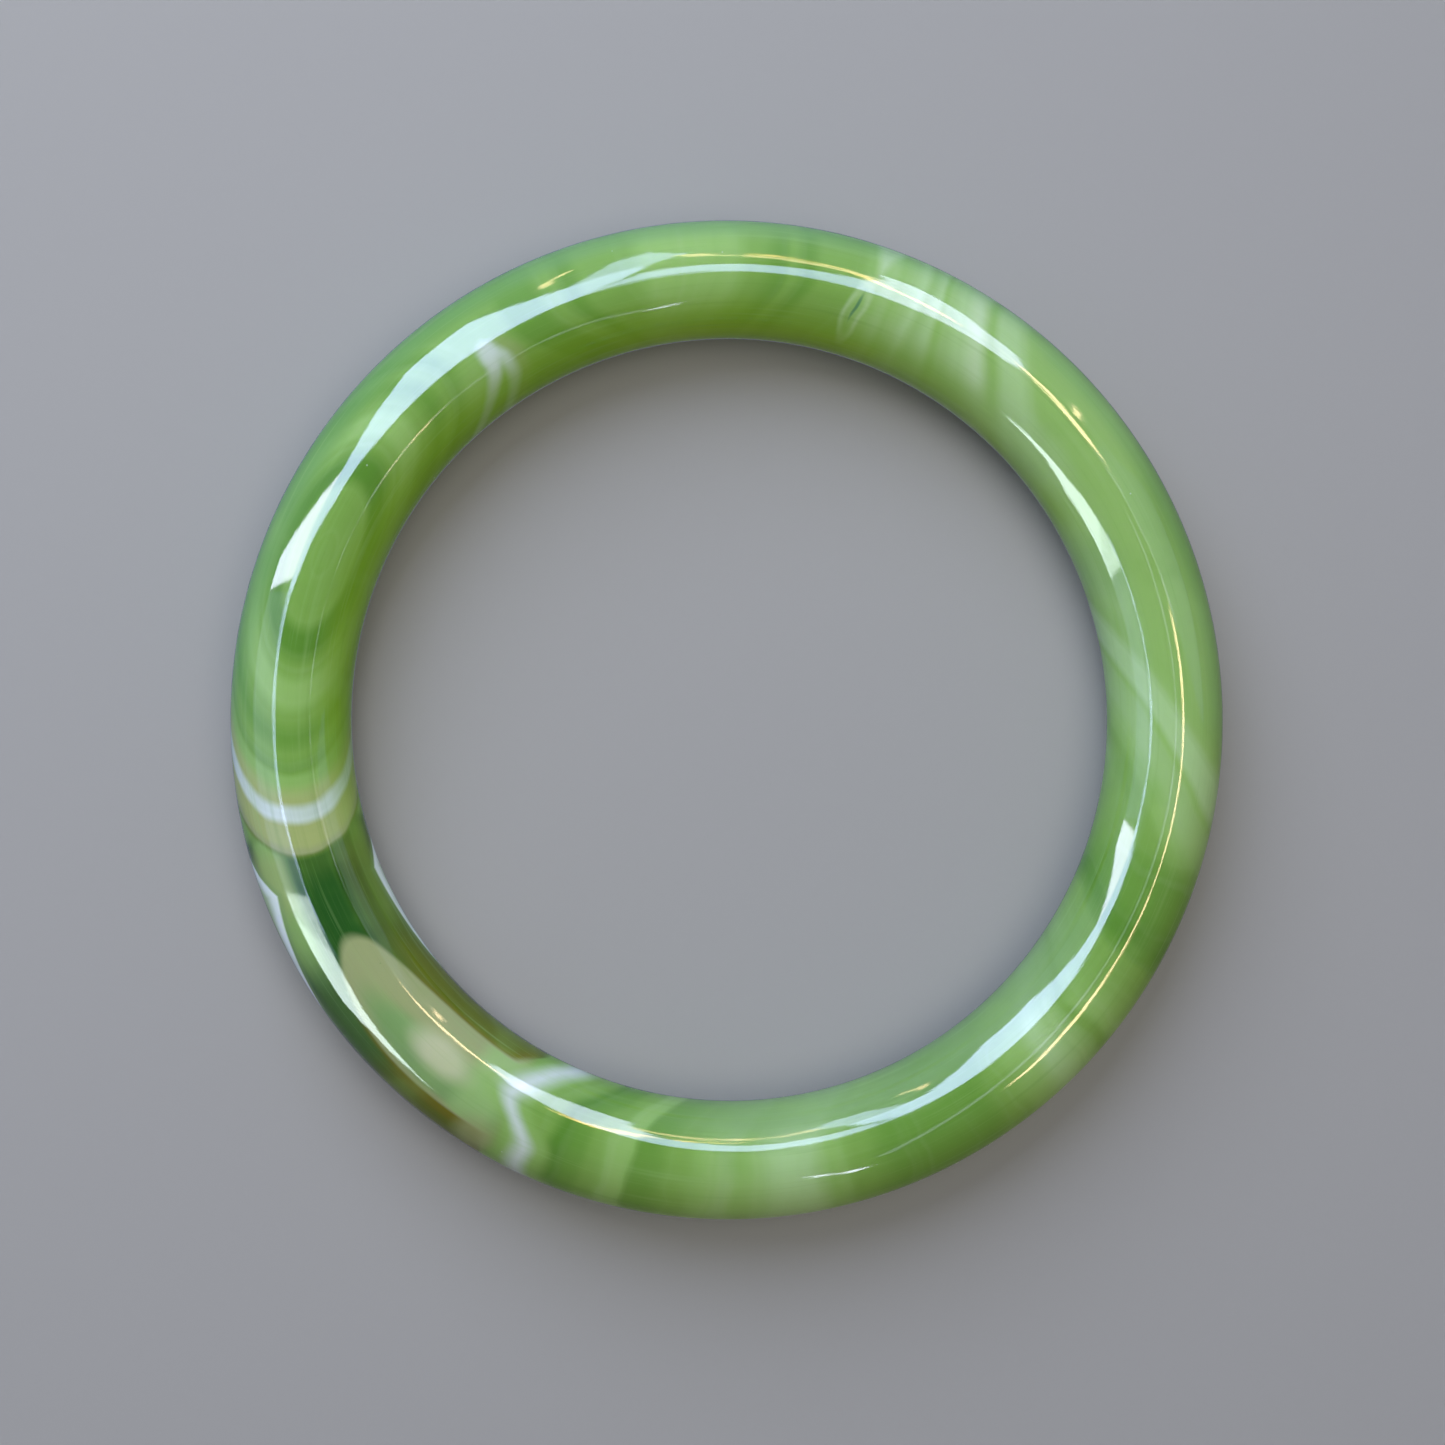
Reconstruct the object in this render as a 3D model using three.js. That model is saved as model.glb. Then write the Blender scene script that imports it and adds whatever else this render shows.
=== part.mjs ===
// A round-bar bangle: one closed, rigid ring ground and polished from a single piece of banded agate.
// Millimetres, +Z up. The origin is the centre of the ring on the plane that it lies on.
import * as THREE from "three";

// Driving dimensions
const INNER_DIAMETER = 58; // the clear way through, which is how bangles are sized
const BAR_DIAMETER = 8.9; // thickness of the round bar, and so the height of the ring lying flat
const STEPS_ROUND_RING = 120; // flats along the ring, 3 degrees each
const SIDES_OF_BAR = 30; // flats round the bar: 4n + 2 of them puts a flat, not a corner, at its foot and crown

const AGATE = { color: 0x6fa048, roughness: 0.1, metalness: 0 }; // leaf green with a glassy polish

const ringRadius = (INNER_DIAMETER + BAR_DIAMETER) / 2; // to the middle of the bar

// The radius to the bar's corners, which stand a little outside the circle that its flats touch.
function cornerRadius(diameterOverFlats, sides) {
  return diameterOverFlats / 2 / Math.cos(Math.PI / sides);
}

function agateRing() {
  const bar = new THREE.TorusGeometry(
    ringRadius,
    cornerRadius(BAR_DIAMETER, SIDES_OF_BAR),
    SIDES_OF_BAR,
    STEPS_ROUND_RING,
  );
  const ring = new THREE.Mesh(bar, new THREE.MeshStandardMaterial(AGATE));
  ring.name = "agate_ring";
  ring.position.z = BAR_DIAMETER / 2; // the bar's lowest flats lie on the plane z = 0
  return ring;
}

const bangle = new THREE.Group();
bangle.add(agateRing());

export default bangle;
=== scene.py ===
"""A bangle ground from one piece of banded green agate, lying on a pale surface by a window.

Metres, +Z up. The stone's layers are drawn with node arithmetic on two angles, in degrees: phi, the angle
round the ring from +X, and theta, the angle round the bar from its top line, positive on the outer side.
The numbers in the pattern say where each mark of this one stone lies, in those two angles.
"""
import math

import bmesh
import bpy
from mathutils import Matrix, Vector

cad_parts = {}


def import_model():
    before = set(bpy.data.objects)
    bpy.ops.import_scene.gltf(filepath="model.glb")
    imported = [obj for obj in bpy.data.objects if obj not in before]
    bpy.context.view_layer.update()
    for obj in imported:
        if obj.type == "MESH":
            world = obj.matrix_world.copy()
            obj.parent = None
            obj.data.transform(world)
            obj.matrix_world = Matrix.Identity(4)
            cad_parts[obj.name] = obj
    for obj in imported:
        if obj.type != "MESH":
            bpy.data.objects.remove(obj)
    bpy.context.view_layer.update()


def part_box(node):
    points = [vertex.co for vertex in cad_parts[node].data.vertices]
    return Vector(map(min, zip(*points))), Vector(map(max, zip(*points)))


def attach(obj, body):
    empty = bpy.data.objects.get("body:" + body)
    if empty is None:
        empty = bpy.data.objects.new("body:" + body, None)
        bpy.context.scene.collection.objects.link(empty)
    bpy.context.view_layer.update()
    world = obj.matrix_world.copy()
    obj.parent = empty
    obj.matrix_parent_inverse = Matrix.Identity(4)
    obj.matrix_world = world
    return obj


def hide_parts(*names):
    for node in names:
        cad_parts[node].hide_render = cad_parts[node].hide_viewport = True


MM = 0.001

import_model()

# The ring's own measures, from the CAD node that the stone replaces
RING_LOW, RING_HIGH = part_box("agate_ring")
BAR_RADIUS = (RING_HIGH.z - RING_LOW.z) / 2
RING_RADIUS = RING_HIGH.x - BAR_RADIUS
RING_CENTRE = Vector((0, 0, RING_LOW.z + BAR_RADIUS))


# ---------------------------------------------------------------- arithmetic on shader fields

class Field:
    """A number that varies over the stone: a node's output. Arithmetic on it adds Math nodes."""

    def __init__(self, tree, socket):
        self.tree = tree
        self.socket = socket

    def math(self, operation, *others):
        node = self.tree.nodes.new("ShaderNodeMath")
        node.operation = operation
        for slot, value in zip(node.inputs, (self, *others)):
            plug(self.tree, value, slot)
        return Field(self.tree, node.outputs[0])

    def __add__(self, other):
        return self.math("ADD", other)

    def __sub__(self, other):
        return self.math("SUBTRACT", other)

    def __mul__(self, other):
        return self.math("MULTIPLY", other)

    def __truediv__(self, other):
        return self.math("DIVIDE", other)

    def __neg__(self):
        return self.math("MULTIPLY", -1.0)

    def __rsub__(self, other):
        return -self + other

    __radd__ = __add__

    def least(self, other):
        return self.math("MINIMUM", other)

    def most(self, other):
        return self.math("MAXIMUM", other)

    def root(self):
        return self.math("SQRT")

    def rise(self, low, high):
        """0 at low, 1 at high, and a smooth step between them."""
        node = self.tree.nodes.new("ShaderNodeMapRange")
        node.interpolation_type = "SMOOTHSTEP"
        plug(self.tree, self, node.inputs["Value"])
        node.inputs["From Min"].default_value = low
        node.inputs["From Max"].default_value = high
        return Field(self.tree, node.outputs["Result"])

    def band(self, low, high, soft):
        """1 from low to high, fading to 0 over soft at each end."""
        return self.rise(low - soft / 2, low + soft / 2) * self.rise(high + soft / 2, high - soft / 2)


def plug(tree, value, slot):
    """Joins a field or another node's output to a slot, or sets the slot to a plain value."""
    if isinstance(value, Field):
        tree.links.new(value.socket, slot)
    elif isinstance(value, bpy.types.NodeSocket):
        tree.links.new(value, slot)
    else:
        slot.default_value = value


def cosine(degrees):
    """The cosine of a field in degrees."""
    return (degrees * math.radians(1)).math("COSINE")


def sine(degrees):
    """The sine of a field in degrees."""
    return (degrees * math.radians(1)).math("SINE")


def linear(red, green, blue):
    """A colour given as 0-255 screen values, as the shader wants it."""
    def channel(value):
        share = value / 255
        return share / 12.92 if share <= 0.04045 else ((share + 0.055) / 1.055) ** 2.4
    return (channel(red), channel(green), channel(blue), 1.0)


def over(tree, below, colour, amount):
    """One colour laid over another, by the amount given."""
    node = tree.nodes.new("ShaderNodeMix")
    node.data_type = "RGBA"
    plug(tree, amount, node.inputs["Factor"])
    plug(tree, below, node.inputs[6])
    plug(tree, colour, node.inputs[7])
    return node.outputs[2]


def layers(tree, field, stops):
    """The colour of each layer: stops are (field value, colour) pairs in rising order, at most 32."""
    first, last = stops[0][0], stops[-1][0]
    ramp = tree.nodes.new("ShaderNodeValToRGB")
    ramp.color_ramp.interpolation = "EASE"
    plug(tree, (field - first) / (last - first), ramp.inputs["Fac"])
    elements = ramp.color_ramp.elements
    while len(elements) < len(stops):
        elements.new(0.5)
    for element, (value, colour) in zip(elements, stops):
        element.position = (value - first) / (last - first)
        element.color = colour
    return ramp.outputs["Color"]


def noise(tree, vector, scale, detail=2, w=None, dimensions="3D"):
    """Smooth random variation round 0, mostly within -0.5 and 0.5. It comes out the same on every run."""
    node = tree.nodes.new("ShaderNodeTexNoise")
    node.noise_dimensions = dimensions
    node.inputs["Scale"].default_value = scale
    node.inputs["Detail"].default_value = detail
    if vector is not None:
        plug(tree, vector, node.inputs["Vector"])
    if w is not None:
        plug(tree, w, node.inputs["W"])
    return Field(tree, node.outputs["Fac"]) - 0.5


# ---------------------------------------------------------------- the stone

# its colours, as red, green and blue on a screen; some of them also carry painted light, as marked
LEAF = linear(120, 160, 76)
MOSS = linear(102, 146, 60)
SHADE = linear(88, 134, 48)
FERN = linear(138, 176, 98)
SAGE = linear(148, 183, 116)
PALE = linear(160, 193, 134)
MIST = linear(176, 202, 156)
MILK = linear(196, 210, 204)
# the notches' white, brightened past the stone's own white by a painted sky reflection
WHITE_AND_SHEEN = linear(232, 246, 246)
# painted light: the yellow of light coming through the inner side of the stone
LIT_THROUGH_YELLOW = linear(122, 168, 24)
JADE = linear(121, 156, 97)
# painted light: a darker bluish green for a painted sky sheen and shade on the ring's outer side
SHEEN_AND_SHADE_GREEN = linear(97, 150, 93)
TEAL = linear(64, 116, 88)
DEEP = linear(38, 85, 30)
FOREST = linear(62, 100, 38)
OLIVE = linear(96, 106, 14)
BROWN = linear(110, 104, 8)
# painted light: a brighter yellow-green for light coming through the lowest inner side
LIT_THROUGH_LIME = linear(146, 178, 50)
KHAKI = linear(158, 170, 108)
TAN = linear(150, 160, 112)
CREAM = linear(190, 194, 160)


class Stone:
    """The agate's pattern: the coordinates its layers are drawn with, and the colour laid down so far.

    reach and height are how far out and up a point lies from the middle of the bar, in bar radii. The angle
    round the ring is bent a little, so that no layer is perfect.
    """

    def __init__(self, tree):
        self.tree = tree
        place = tree.nodes.new("ShaderNodeTexCoord").outputs["Object"]
        split = tree.nodes.new("ShaderNodeSeparateXYZ")
        tree.links.new(place, split.inputs[0])
        x, y, z = (Field(tree, split.outputs[i]) for i in range(3))
        self.place = place
        self.bend = noise(tree, place, 90) * 2.2 + noise(tree, place, 420) * 0.7
        self.phi = y.math("ARCTAN2", x) * math.degrees(1)
        reach = (x * x + y * y).root() - RING_RADIUS
        height = z - RING_CENTRE.z
        self.theta = reach.math("ARCTAN2", height) * math.degrees(1)
        self.reach = reach / BAR_RADIUS
        self.height = height / BAR_RADIUS
        self.haze = noise(tree, place, 700, detail=3)
        self.pits = specks(self, 520, 0.07, 0.07 * MM)
        self.colour = LEAF

    def around(self, phi):
        """Degrees along the ring from phi, from -180 to 180."""
        return (self.phi - phi + self.bend).math("WRAP", 180.0, -180.0)

    def fold(self, theta):
        """How far a point lies round the bar from theta: 0 there and 2 on the far side."""
        return 1 - cosine(self.theta - theta)

    def nest(self, phi, theta, roundness):
        """Degrees from the middle of a nest of oval layers, as read along the bar through that middle.

        The more roundness, the narrower the ovals are across the bar.
        """
        along = self.around(phi)
        return (along * along + self.fold(theta) * roundness).root()

    def spot(self, phi, theta, along, across):
        """1 in the middle of an oval spot, fading to 0 at its edge. Half sizes in degrees."""
        shape = self.nest(phi, theta, 2 * (along / math.radians(across)) ** 2) / along
        return shape.rise(1.0, 0.3)

    def streaks(self, along, across):
        """Noise drawn out along the bar. The two numbers set how many streaks there are each way."""
        ring_way = self.tree.nodes.new("ShaderNodeCombineXYZ")
        plug(self.tree, cosine(self.phi) * along, ring_way.inputs["X"])
        plug(self.tree, sine(self.phi) * along, ring_way.inputs["Y"])
        plug(self.tree, cosine(self.theta) * across, ring_way.inputs["Z"])
        bar_way = sine(self.theta) * across
        return noise(self.tree, ring_way.outputs[0], 1.0, w=bar_way, dimensions="4D")

    def lay(self, colour, amount):
        """Lays a colour over what is there."""
        self.colour = over(self.tree, self.colour, colour, amount)

    def bands(self, field, stops, amount, contrast=0.07):
        """Lays down a stack of layers, with fine lines running along them."""
        tree = self.tree
        lines = noise(tree, None, 0.5, detail=1, w=field, dimensions="1D")
        colour = layers(tree, field, stops)
        colour = over(tree, colour, MIST, lines.rise(0.0, 0.3) * contrast)
        colour = over(tree, colour, SHADE, lines.rise(0.0, -0.3) * contrast)
        self.lay(colour, amount)


def specks(stone, per_metre, share, radius):
    """1 on a few tiny round marks, 0 elsewhere: so many cells to a metre, and a mark in a share of them."""
    tree = stone.tree
    cells = tree.nodes.new("ShaderNodeTexVoronoi")
    tree.links.new(stone.place, cells.inputs["Vector"])
    cells.inputs["Scale"].default_value = per_metre
    pick = tree.nodes.new("ShaderNodeSeparateColor")
    tree.links.new(cells.outputs["Color"], pick.inputs[0])
    chosen = Field(tree, pick.outputs[0]).rise(share + 0.001, share)
    size = radius * per_metre
    return Field(tree, cells.outputs["Distance"]).rise(size, size / 2) * chosen


def slanting_sheets(stone):
    """Pale flat layers that cut the right of the ring at a slant."""
    stone.lay(FERN, stone.around(20).band(-24, 36, 14))
    stone.lay(LEAF, stone.spot(25, 48, 14, 44) * 0.9)
    # a painted bluish sheen and shade on the outer side
    stone.lay(SHEEN_AND_SHADE_GREEN, stone.theta.band(30, 130, 24) * stone.around(30).band(-34, 36, 16) * 0.3)
    stone.lay(MOSS, stone.spot(23, -60, 7, 44) * 0.45)
    # a paler patch painted on the inner side at the right, as painted light
    stone.lay(SAGE, stone.spot(43, -66, 13, 50))
    stone.lay(PALE, (-stone.theta).band(46, 120, 30) * stone.around(22).band(-30, 30, 20) * 0.4)
    sheet = stone.around(352.5) + stone.reach * 11.5 + (stone.height - 1) * 6.0
    within = sheet.band(-13, 11, 6) * stone.around(354).band(-26, 28, 8)
    stone.bands(sheet, [
        (-16, MOSS), (-12, LEAF), (-8, FERN), (-4, SAGE), (-0.6, SAGE), (0.8, FERN), (2.8, PALE), (6.0, PALE),
        (9.2, FERN), (14, FERN),
    ], within)


def fan(stone):
    """Cross bands that spread out towards the hand opening."""
    along = stone.around(67)
    spread = 1 + stone.fold(50) * 0.78
    place = along.least(0.0) / spread + along.most(0.0)
    stone.bands(place, [
        (-18, FERN), (-15, FERN), (-12, PALE), (-10.4, PALE), (-9, FERN), (-7, MIST), (-5, PALE),
        (-3.4, SAGE), (-2.6, FERN), (-1.8, PALE), (-0.4, SAGE), (0.6, PALE), (2, SAGE), (3.2, FERN),
        (4.4, SAGE), (6, FERN), (9, LEAF), (12, LEAF),
    ], place.band(-16, 9, 5), 0.12)
    outward = stone.theta.rise(5, 75)
    wedge = (stone.around(73.0) + outward).math("ABSOLUTE") - outward * 1.4
    stone.lay(MIST, wedge.rise(0.8, -0.6) * stone.theta.band(12, 120, 25) * 0.9)
    axis = stone.around(74.0) - (-stone.theta).rise(0, 40)
    teardrop = (axis * axis * 0.7 + stone.fold(-28) * 6.6).root()
    stone.lay(SAGE, teardrop.rise(0.95, 0.5) * 0.4)
    stone.lay(MIST, teardrop.band(0.7, 1.15, 0.5) * 0.6)
    streak = (axis * axis * 14 + stone.fold(-20) * 22).root()
    stone.lay(TEAL, streak.rise(1.2, 0.3) * 0.8)


def plain_stretch(stone):
    """The deeper green between the fan and the first white vein."""
    inward = (-stone.theta).rise(0, 90)
    left = stone.around(82) - inward * 6
    stone.bands(left, [
        (-6, LEAF), (-2, LEAF), (0, MOSS), (2, LEAF), (3, MOSS), (6, LEAF), (10, FERN), (20, FERN),
    ], stone.around(90).band(-13, 14, 5))
    right = stone.around(112.5) + inward * 9
    stone.bands(right, [
        (-10, LEAF), (-4, LEAF), (-2.4, LEAF), (0, MOSS), (2, LEAF), (5, MOSS), (8, MOSS), (10, LEAF),
        (14, LEAF),
    ], stone.around(113).band(-9, 10, 5))
    stone.lay(JADE, stone.theta.rise(25, 50) * stone.around(100).band(-24, 30, 16) * 0.5)


def left_nest(stone):
    """Degrees from the middle of the large nest of oval layers on the left of the ring."""
    return stone.nest(159, -5, 630)


def oval_nest(stone):
    """Oval layers one inside another on the left of the ring, with white veins round them."""
    nest = left_nest(stone)
    stone.bands(nest, [
        (0, LEAF), (8.5, LEAF), (11, SHADE), (12.4, SHADE), (15.4, LEAF), (17.6, FERN), (19.2, FERN),
        (21.5, LEAF), (24, MOSS), (26, LEAF), (28, MOSS), (30, LEAF), (34, LEAF),
    ], nest.rise(36, 30))
    stone.lay(MOSS, stone.theta.band(34, 110, 20) * stone.around(143).band(-26, 24, 14) * 0.6)
    stone.bands(nest, [
        (27, LEAF), (29, FERN), (31.6, KHAKI), (33.0, MILK), (33.8, MILK), (35.0, KHAKI), (37.0, KHAKI),
        (38.0, TAN), (38.7, OLIVE),
    ], stone.around(190).band(-14, 14, 4) * nest.band(28, 38.7, 1.4), 0.05)
    inward = -stone.theta
    inner_half = inward.band(0, 95, 12)
    stone.lay(FERN, stone.spot(127, -42, 7, 80) * 0.8)
    right_arm = stone.around(125.2) + inward.rise(0, 24) * 1.3 - inward.rise(36, 84) * 2.8
    stone.lay(TAN, right_arm.band(-2.6, -0.6, 1.6) * inner_half * 0.4)
    stone.lay(MILK, right_arm.band(-0.9, 0.8, 1.5) * inner_half * 0.7)
    left_arm = stone.around(125.9) - inward.rise(16, 102) * 8.0
    stone.lay(MILK, left_arm.band(-1.1, 0.9, 1.6) * inner_half * 0.85)
    stone.lay(MILK, stone.spot(125.7, -10, 1.7, 20) * 0.5)


def zigzag(stone):
    """Degrees along the ring from the white vein that crosses the bar as a sharp bend."""
    theta = stone.theta
    outward = theta.rise(-14, 30) * 4.6 + theta.rise(44, 90) * 1.6 + theta.rise(90, 180) * 3.0
    inward = (-theta).rise(8, 90) * 8.2 + (-theta).rise(90, 180) * 1.0
    return stone.around(237.2) - outward - inward


def dark_stretch(stone):
    """Deep green and olive stone, cut by pale notches at both rims whose whitest edges carry a painted sky
    reflection, with the tan lens in it.
    """
    vein = zigzag(stone)
    beyond_nest = left_nest(stone).rise(37.9, 39.1)
    within = beyond_nest * vein.rise(-4.0, -4.8) * stone.around(218).band(-24, 22, 2)
    stone.lay(FOREST, within)
    stone.lay(DEEP, within * stone.around(204).band(-4, 8, 4))
    outer, inner = stone.theta, -stone.theta
    stone.lay(FERN, within * stone.around(199).band(-9, 11, 9) * outer.band(26, 60, 18) * 0.9)
    stone.lay(LEAF, within * stone.around(202).band(-8, 8, 6) * inner.band(48, 70, 16) * 0.7)
    stone.lay(KHAKI, within * stone.around(199).band(-3, 4, 4) * outer.band(26, 72, 14) * 0.5)
    stone.lay(OLIVE, within * stone.around(208).band(-12, 14, 8) * inner.rise(14, 32) * 0.45)
    stone.lay(OLIVE, within * stone.around(229).band(-16, 14, 12) * inner.rise(30, 46) * 0.9)
    stone.lay(FOREST, within * stone.around(220).band(-6, 8, 8) * outer.rise(34, 46))
    stone.lay(OLIVE, within * stone.around(231).band(-7, 14, 8) * outer.rise(28, 40) * 0.9)
    stone.lay(BROWN, within * stone.around(232).band(-7, 14, 6) * outer.band(34, 48, 10) * 0.7)

    notch_at = stone.around(200.5)
    outer_edge = outer - 45 - notch_at.most(0.0) * 2.3 + notch_at.least(0.0) * 7.7
    inner_edge = inner - 63 - (notch_at - 1.5).most(0.0) * 1.1 + (notch_at - 1.5).least(0.0) * 5.0
    notch = outer_edge.most(inner_edge)
    in_reach = stone.around(206).band(-12, 12, 6)
    stone.lay(JADE, notch.rise(-9, -1) * in_reach * 0.5)
    stone.lay(MIST, notch.rise(-1, 4) * notch.rise(64, 38) * in_reach)
    # the notches' whitest edge: the stone's white plus a painted sky reflection
    stone.lay(WHITE_AND_SHEEN, notch.rise(0, 4) * notch.rise(26, 8) * in_reach)

    ahead = stone.around(228).least(0.0)
    lens = (ahead * ahead + stone.fold(-3) * 1625).root() - 19.5
    inside = lens.math("SMOOTH_MIN", -4.5 - vein, 2.0)
    drawn = stone.around(222).band(-16, 16, 3)
    stone.lay(BROWN, inside.rise(3.0, 0.2) * drawn * stone.around(226).band(-8, 14, 6) * 0.7)
    stone.lay(TAN, inside.rise(0.9, -0.9) * drawn)
    ahead_inner = stone.around(231).least(0.0)
    core = (ahead_inner * ahead_inner + stone.fold(10) * 3100).root()
    stone.lay(JADE, core.rise(19, 11) * drawn * inside.rise(-0.5, -3.0))
    stone.lay(SAGE, stone.around(235).band(-3, 2.5, 3) * inside.rise(-0.3, -1.5) * 0.8)
    stone.lay(CREAM, stone.spot(227.6, -1, 6.8, 24) * 0.9)
    return vein


def beyond_the_vein(stone, vein):
    """Green with cross bands, and a second, fainter nest."""
    theta = stone.theta
    lean = (-theta).rise(10, 90) * 7.0 - (-theta).rise(90, 180) * 3.0 + theta.rise(60, 180) * 4.0
    place = stone.around(290) - lean + noise(stone.tree, stone.place, 380, detail=1) * 2.0
    stone.bands(place, [
        (-52, LEAF), (-46, LEAF), (-44, SHADE), (-41.6, MOSS), (-39, LEAF), (-36.5, FERN), (-35.4, FERN),
        (-34.4, MOSS), (-32.4, MOSS), (-29, LEAF), (-25, FERN), (-22.6, SAGE), (-20.4, FERN),
        (-14.5, PALE), (-11.5, PALE), (-8.5, FERN), (-5, LEAF), (0, MOSS), (11, MOSS), (15, LEAF), (19, FERN),
        (22.5, PALE), (25.6, SAGE), (28.2, LEAF), (29.4, FERN), (37.8, LEAF), (38.8, MOSS), (41, SHADE),
        (45, MOSS), (50, MOSS), (53, LEAF), (58, FERN),
    ], stone.around(295).band(-56, 47, 8) * vein.rise(2, 5))
    stone.lay(JADE, (-theta).rise(16, 46) * stone.around(298).band(-36, 32, 16) * 0.8)
    stone.lay(FERN, vein.band(-2.8, 3.2, 3) * 0.8)
    stone.lay(MILK, vein.band(-2.0, 2.6, 2.6) * (-theta).band(14, 90, 20) * 0.5)
    stone.lay(MILK, vein.band(-0.8, 1.2, 2.4))
    stone.lay(TAN, stone.spot(236.5, 46, 3.4, 34) * 0.7)


def painted_rim_light(stone):
    """Yellower green painted where light comes through the inner side, a painted bluish sheen and shade on the
    outer side, and paler green painted on the inner side at the right, all painted light.
    """
    stone.lay(LIT_THROUGH_YELLOW, (-stone.theta).band(34, 120, 44) * stone.around(130).band(-48, 62, 22) * 0.7)
    stone.lay(LIT_THROUGH_YELLOW, (-stone.theta).band(40, 120, 30) * stone.around(56).band(-24, 26, 18) * 0.5)
    # a painted bluish sheen and shade on the outer side
    stone.lay(SHEEN_AND_SHADE_GREEN, stone.theta.band(42, 140, 30) * stone.around(112).band(-64, 68, 20) * 0.4)
    # painted light coming through the lowest part of the inner side
    stone.lay(LIT_THROUGH_LIME, (-stone.theta).band(56, 120, 30) * stone.around(72).band(-38, 36, 24) * 0.45)
    # paler patches painted on the inner side at the right, as painted light
    stone.lay(PALE, stone.spot(43, -52, 13, 40) * 0.6)
    stone.lay(FERN, stone.spot(60, -66, 12, 44) * 0.4)


def small_marks(stone):
    """Fine lengthwise streaks, cloudiness, pits and milky specks over the whole ring."""
    for streak, strength in ((stone.streaks(2, 9), 0.28), (stone.streaks(4, 42), 0.17)):
        stone.lay(SAGE, streak.rise(0.05, 0.3) * strength)
        stone.lay(SHADE, streak.rise(-0.05, -0.3) * strength * 0.75)
    cloud = noise(stone.tree, stone.place, 130, detail=3)
    stone.lay(FERN, cloud.rise(0.02, 0.3) * 0.35)
    stone.lay(MOSS, cloud.rise(-0.02, -0.3) * 0.35)
    stone.lay(SHADE, stone.pits * 0.7)
    stone.lay(MILK, specks(stone, 610, 0.05, 0.09 * MM) * 0.5)


def paint_stone(tree):
    """The whole pattern of the agate, with painted light on the rims and notches, as one colour."""
    stone = Stone(tree)
    slanting_sheets(stone)
    fan(stone)
    plain_stretch(stone)
    oval_nest(stone)
    vein = dark_stretch(stone)
    beyond_the_vein(stone, vein)
    painted_rim_light(stone)
    small_marks(stone)
    return stone


POLISH_DEPTH = 0.006 * MM  # of the marks left by hand polishing


def agate():
    """Polished banded agate: waxy, glassy and slightly see-through."""
    material = bpy.data.materials.new("banded_agate")
    material.use_nodes = True
    tree = material.node_tree
    shader = tree.nodes["Principled BSDF"]
    stone = paint_stone(tree)
    tree.links.new(stone.colour, shader.inputs["Base Color"])
    shader.inputs["Subsurface Weight"].default_value = 0.35
    shader.inputs["Subsurface Radius"].default_value = (0.9, 1.0, 0.6)
    shader.inputs["Subsurface Scale"].default_value = 0.8 * MM
    shader.inputs["IOR"].default_value = 1.54
    hairlines = stone.streaks(7, 150)
    worn = (stone.haze * 0.05 + hairlines * 0.05 + 0.05).most(0.025)
    plug(tree, worn + stone.pits * 0.3, shader.inputs["Roughness"])
    bump = tree.nodes.new("ShaderNodeBump")
    bump.inputs["Distance"].default_value = POLISH_DEPTH
    polish = stone.streaks(3, 16) + stone.streaks(5, 50) * 0.25 + stone.haze * 0.12
    plug(tree, polish - stone.pits * 1.5, bump.inputs["Height"])
    tree.links.new(bump.outputs["Normal"], shader.inputs["Normal"])
    return material


RING_STEPS = 480  # faces round the ring
BAR_STEPS = 80  # faces round the bar


def stone_ring():
    """The smooth ring: one closed mesh, swept round the centre."""
    shape = bmesh.new()
    rows = []
    for i in range(RING_STEPS):
        phi = math.tau * i / RING_STEPS
        spoke = Vector((math.cos(phi), math.sin(phi), 0))
        row = []
        for j in range(BAR_STEPS):
            theta = math.tau * j / BAR_STEPS
            out = RING_RADIUS + BAR_RADIUS * math.sin(theta)
            up = BAR_RADIUS * math.cos(theta)
            row.append(shape.verts.new(RING_CENTRE + spoke * out + Vector((0, 0, up))))
        rows.append(row)
    for i in range(RING_STEPS):
        here, there = rows[i], rows[(i + 1) % RING_STEPS]
        for j in range(BAR_STEPS):
            k = (j + 1) % BAR_STEPS
            face = shape.faces.new((here[j], here[k], there[k], there[j]))
            face.smooth = True
    bmesh.ops.recalc_face_normals(shape, faces=shape.faces)
    mesh = bpy.data.meshes.new("agate_bangle")
    shape.to_mesh(mesh)
    shape.free()
    ring = bpy.data.objects.new("agate_bangle", mesh)
    bpy.context.scene.collection.objects.link(ring)
    ring.data.materials.append(agate())
    return ring


ring = stone_ring()
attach(ring, "root")
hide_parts("agate_ring")


# ---------------------------------------------------------------- floor, light and camera

FLOOR_HALF = 1.5  # metres
FLOOR_GREY = linear(153, 152, 151)


def floor():
    """A plain pale surface under the ring, not mirrored in it."""
    mesh = bpy.data.meshes.new("floor")
    corners = [(-1, -1), (1, -1), (1, 1), (-1, 1)]
    mesh.from_pydata([(x * FLOOR_HALF, y * FLOOR_HALF, RING_LOW.z) for x, y in corners], [], [(0, 1, 2, 3)])
    plane = bpy.data.objects.new("floor", mesh)
    bpy.context.scene.collection.objects.link(plane)
    material = bpy.data.materials.new("pale_floor")
    material.use_nodes = True
    shader = material.node_tree.nodes["Principled BSDF"]
    shader.inputs["Base Color"].default_value = FLOOR_GREY
    shader.inputs["Roughness"].default_value = 0.9
    shader.inputs["Specular IOR Level"].default_value = 0.0
    mesh.materials.append(material)
    plane.visible_glossy = False


# heights above the ring's centre: in the stone, a lower shape hides the ones over it
TRACK_HEIGHT = 99 * MM
FLAG_HEIGHT = 100 * MM
GLOW_HEIGHT = 181 * MM
WALL_HEIGHT = 183 * MM
FAR_HEIGHT = 2500 * MM


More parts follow.
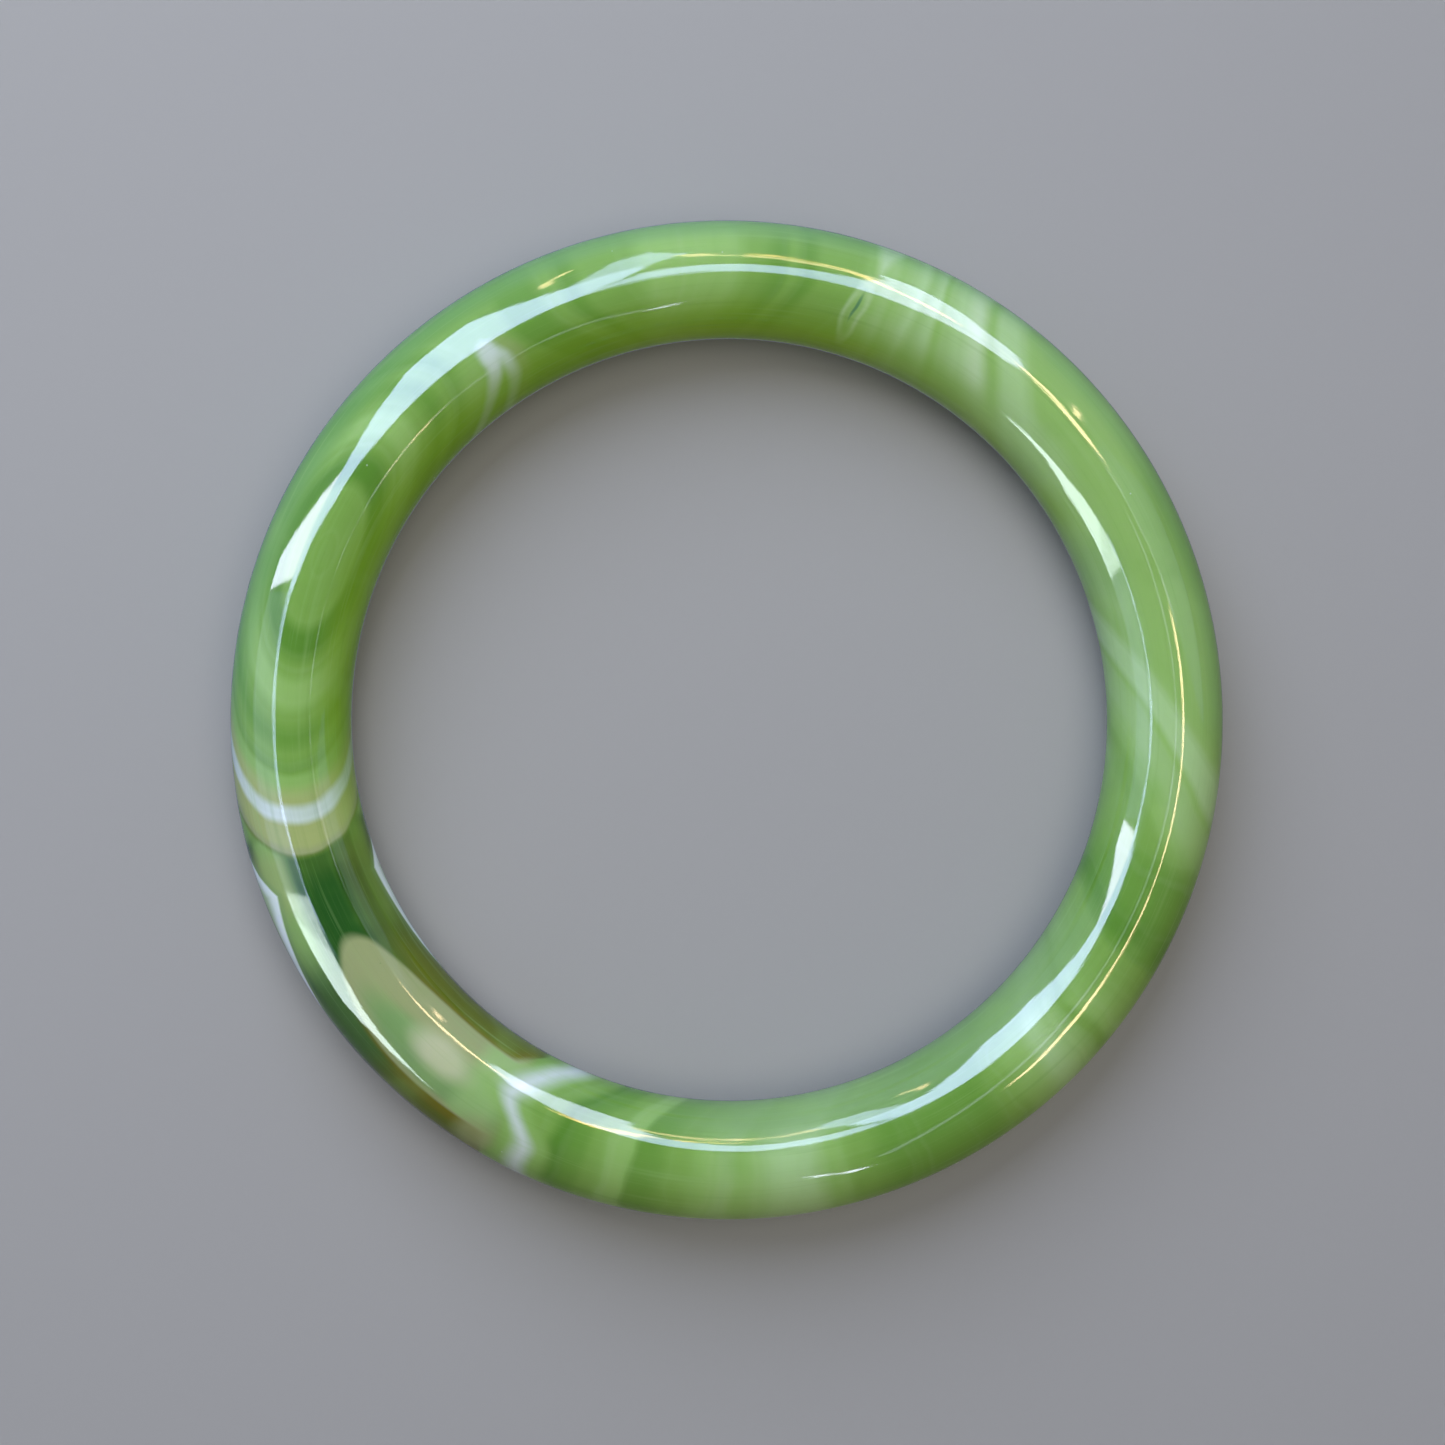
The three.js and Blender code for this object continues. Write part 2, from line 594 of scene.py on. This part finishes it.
def glow(name, outline, brightness, colour, height=GLOW_HEIGHT, clear=False):
    """A lit shape over the ring, seen only as a highlight in the stone. The outline is in mm from the centre.

    The shapes above a clear one shine through it.
    """
    mesh = bpy.data.meshes.new(name)
    up = RING_CENTRE.z + height
    mesh.from_pydata([(x * MM, y * MM, up) for x, y in outline], [], [tuple(range(len(outline)))])
    material = bpy.data.materials.new(name)
    material.use_nodes = True
    tree = material.node_tree
    tree.nodes.clear()
    light = tree.nodes.new("ShaderNodeEmission")
    light.inputs["Color"].default_value = (*colour, 1)
    light.inputs["Strength"].default_value = brightness
    shine = light.outputs[0]
    if clear:
        both = tree.nodes.new("ShaderNodeAddShader")
        tree.links.new(shine, both.inputs[0])
        tree.links.new(tree.nodes.new("ShaderNodeBsdfTransparent").outputs[0], both.inputs[1])
        shine = both.outputs[0]
    tree.links.new(shine, tree.nodes.new("ShaderNodeOutputMaterial").inputs["Surface"])
    mesh.materials.append(material)
    shape = bpy.data.objects.new(name, mesh)
    shape.visible_camera = False
    shape.visible_diffuse = False
    shape.visible_transmission = False
    shape.visible_shadow = False
    bpy.context.scene.collection.objects.link(shape)


# the colours of the lit shapes
SKY = (0.52, 0.62, 1.0)
DAY = (0.74, 0.75, 1.0)
BRIGHT = (0.66, 0.70, 1.0)
CLEAR = (0.84, 1.0, 1.0)
LAMP = (1.0, 0.70, 0.42)
AMBER = (1.0, 0.62, 0.26)


def mirrored_room():
    """The window, walls and lamps of the room, as they are mirrored in the stone."""
    glow("window_main", [
        (-150, 54), (-128, 100), (-235, 295), (-182, 335), (-52, 165), (-30, 142), (-4, 150), (2, 56),
        (-60, 58), (-100, 54), (-120, 44),
    ], 16, SKY)
    glow("window_top", [(-30, 142), (-40, 285), (-20, 320), (-2, 236), (8, 232), (-4, 150)], 9, SKY)
    glow("window_far_left", [(-122, 50), (-600, 195), (-600, 250), (-128, 100)], 19, DAY)
    glow("window_right", [
        (38, 49), (60, 54), (92, 86), (120, 124), (126, 180), (132, 236), (104, 224), (84, 172), (54, 112),
    ], 12.5, BRIGHT, clear=True)
    glow("window_sill", [(2, 56), (38, 49), (54, 112), (30, 96), (2, 98)], 12, SKY)
    glow("window_low_left", [
        (-134, -62), (-600, -245), (-600, -470), (-330, -325), (-238, -340), (-224, -285), (-210, -222),
        (-190, -166), (-152, -106),
    ], 14, CLEAR)
    glow("wall_left", [(-129, -88), (-129, 46), (-600, 190), (-600, -290)], 2.2, SKY)
    glow("wall_edge", [(-136, -78), (-129, -76), (-127, 46), (-152, 54), (-148, 0)], 14, SKY)
    glow("lamp_strip", [(94, -96), (108, -96), (106, 22), (92, 22)], 22, LAMP)
    glow("lamp_top", [(78, 48), (92, 50), (96, 78), (82, 94)], 22, LAMP)
    glow("lamp_slant", [(120, 90), (124, 90), (172, 130), (168, 133)], 20, LAMP)
    glow("lamp_arc", [
        (-2, 205), (12, 172), (45, 146), (76, 150), (76, 160), (46, 158), (20, 182), (6, 210),
    ], 13, LAMP)
    glow("lamp_far", [(-104, 390), (-98, 300), (-74, 236), (-68, 242), (-88, 300), (-94, 392)], 15, LAMP)
    glow("spot_near", [(47, -157), (55, -163), (95, -206), (85, -212)], 20, DAY)
    glow("lamp_bend", [
        (730, 860), (752, 1300), (765, 1800), (620, 2020), (430, 2210), (475, 2305), (670, 2115), (855, 1915),
        (840, 1300), (810, 860),
    ], 19, AMBER, FAR_HEIGHT)
    glow("wall_right", [
        (82, 48), (83, 32), (98, 29), (122, 24), (420, 0), (420, 220), (140, 90),
    ], 1.0, SKY, WALL_HEIGHT)
    glow("wall_rim", [
        (81, 48), (81, 32), (97, 27), (122, 22), (122, 27), (100, 32), (86, 35), (85, 48),
    ], 4, DAY)

    # two dark flags keep the long lamp out of most of the ring's inner side, where a faint track stands for it
    glow("flag_near", [(29, -84), (56, -84), (56, -25), (29, -25)], 0, SKY, FLAG_HEIGHT)
    glow("flag_far", [(29, -16), (56, -16), (56, 18), (29, 18)], 0, SKY, FLAG_HEIGHT)
    glow("lamp_track", [(40, -84), (44, -84), (44, 18), (40, 18)], 3, DAY, TRACK_HEIGHT)


def softbox(name, place, size, watts, colour):
    """A large soft lamp aimed at the ring, which lights it but isn't mirrored in it."""
    light = bpy.data.lights.new(name, "AREA")
    light.shape = "DISK"
    light.size = size
    light.energy = watts
    light.color = colour
    lamp = bpy.data.objects.new(name, light)
    lamp.location = place
    lamp.rotation_euler = (RING_CENTRE - lamp.location).to_track_quat("-Z", "Y").to_euler()
    lamp.visible_camera = False
    lamp.visible_glossy = False
    bpy.context.scene.collection.objects.link(lamp)


def soft_light():
    """Cool light from the window side and warm light from overhead."""
    softbox("key", (-0.13, 0.24, 0.25), 0.34, 1.45, (0.80, 0.87, 1.0))
    softbox("overhead", (0.10, -0.05, 1.0), 0.9, 4.2, (1.0, 0.96, 0.86))


WINDOW_SIDE = (0.30, 0.38, 0.70, 1)
FAR_SIDE = (0.22, 0.19, 0.09, 1)
CEILING = (0.05, 0.05, 0.05, 1)
GROUND = (0.08, 0.08, 0.09, 1)


def world():
    """A quiet room: cool on the window side (+Y), warmer and dimmer behind, dark overhead."""
    scene_world = bpy.data.worlds.new("room")
    bpy.context.scene.world = scene_world
    scene_world.use_nodes = True
    tree = scene_world.node_tree
    back = tree.nodes["Background"]
    split = tree.nodes.new("ShaderNodeSeparateXYZ")
    tree.links.new(tree.nodes.new("ShaderNodeTexCoord").outputs["Generated"], split.inputs[0])
    x, y, z = (Field(tree, split.outputs[i]) for i in range(3))
    towards_window = y * 0.83 - x * 0.55
    wall = over(tree, FAR_SIDE, WINDOW_SIDE, towards_window.rise(-0.9, 0.9))
    room = over(tree, wall, CEILING, z.rise(0.75, 0.92))
    room = over(tree, room, GROUND, z.rise(-0.05, -0.4) * 0.5)
    tree.links.new(room, back.inputs["Color"])
    back.inputs["Strength"].default_value = 1.0


FOCAL_RATIO = 1.6609  # focal length over picture width
CAMERA_FROM_CENTRE = Vector((-23.3, -3.5, 181.1)) * MM
LEAN_LEFT = 6.97  # degrees that the view leans from straight down
LEAN_NEAR = 1.01


def camera():
    """The photograph's view: almost straight down on the ring."""
    data = bpy.data.cameras.new("camera")
    data.sensor_width = 36
    data.lens = data.sensor_width * FOCAL_RATIO
    data.clip_start = 0.005
    eye = bpy.data.objects.new("camera", data)
    back = Vector((-math.tan(math.radians(LEAN_LEFT)), -math.tan(math.radians(LEAN_NEAR)), 1)).normalized()
    right = (Vector((1, 0, 0)) - back * back.x).normalized()
    up = back.cross(right)
    turn = Matrix((right, up, back)).transposed().to_4x4()
    eye.matrix_world = Matrix.Translation(RING_CENTRE + CAMERA_FROM_CENTRE) @ turn
    bpy.context.scene.collection.objects.link(eye)
    bpy.context.scene.camera = eye


floor()
mirrored_room()
soft_light()
world()
camera()
bpy.context.scene.view_settings.view_transform = "Standard"
